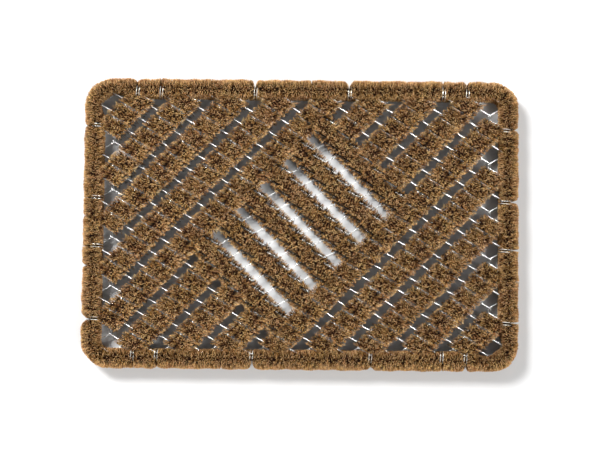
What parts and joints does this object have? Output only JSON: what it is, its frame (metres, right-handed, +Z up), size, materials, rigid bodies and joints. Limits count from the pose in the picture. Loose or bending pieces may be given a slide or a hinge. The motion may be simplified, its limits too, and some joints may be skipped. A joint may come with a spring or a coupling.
{
  "type": "door mat",
  "caption": "Rectangular coir brush door mat: diagonal brush rows clamped in an interlinked wire mesh, with a coir brush border round its rounded edge.",
  "frame": {"origin": "under the middle of the mat, at floor level", "axes": "+X along the length, +Y towards the far long side, +Z up"},
  "size_m": [0.6, 0.4, 0.032],
  "materials": {
    "coir_rows": "cut coir fibre ends, golden brown tips over dark roots",
    "border_coir": "radial coir fibre, trimmed, golden brown with dark gaps",
    "mesh_wire": "galvanised, dull zinc with bright drawn streaks",
    "core_wire": "galvanised twisted pair"
  },
  "bodies": {
    "root": {"border_brush": "border_coir", "border_core_wire_lower": "core_wire", "border_core_wire_upper": "core_wire", "coir_row_long_01": "coir_rows", "coir_row_long_02": "coir_rows", "coir_row_long_03": "coir_rows", "coir_row_long_04": "coir_rows", "coir_row_long_05": "coir_rows", "coir_row_long_06": "coir_rows", "coir_row_long_07": "coir_rows", "coir_row_long_08": "coir_rows", "coir_row_long_09": "coir_rows", "coir_row_long_10": "coir_rows", "coir_row_short_01": "coir_rows", "coir_row_short_02": "coir_rows", "coir_row_short_03": "coir_rows", "coir_row_short_04": "coir_rows", "coir_row_short_05": "coir_rows", "coir_row_short_06": "coir_rows", "coir_row_centre_01": "coir_rows", "coir_row_centre_02": "coir_rows", "coir_row_centre_03": "coir_rows", "coir_row_centre_04": "coir_rows", "coir_row_centre_05": "coir_rows", "coir_row_centre_06": "coir_rows", "mesh_coil_01": "mesh_wire", "mesh_coil_02": "mesh_wire", "mesh_coil_03": "mesh_wire", "mesh_coil_04": "mesh_wire", "mesh_coil_05": "mesh_wire", "mesh_coil_06": "mesh_wire", "mesh_coil_07": "mesh_wire", "mesh_coil_08": "mesh_wire", "mesh_coil_09": "mesh_wire", "mesh_coil_10": "mesh_wire", "mesh_coil_11": "mesh_wire", "mesh_coil_12": "mesh_wire", "mesh_coil_13": "mesh_wire", "mesh_coil_14": "mesh_wire", "mesh_coil_15": "mesh_wire", "mesh_coil_16": "mesh_wire", "mesh_coil_17": "mesh_wire", "mesh_coil_18": "mesh_wire", "mesh_coil_19": "mesh_wire", "mesh_coil_20": "mesh_wire", "mesh_coil_21": "mesh_wire", "mesh_coil_22": "mesh_wire", "mesh_coil_23": "mesh_wire", "mesh_coil_24": "mesh_wire", "mesh_coil_25": "mesh_wire", "mesh_coil_26": "mesh_wire", "mesh_coil_27": "mesh_wire", "mesh_coil_28": "mesh_wire", "mesh_coil_29": "mesh_wire", "mesh_coil_30": "mesh_wire", "mesh_coil_31": "mesh_wire", "mesh_coil_32": "mesh_wire", "mesh_coil_33": "mesh_wire", "mesh_coil_34": "mesh_wire"}
  },
  "joints": []
}
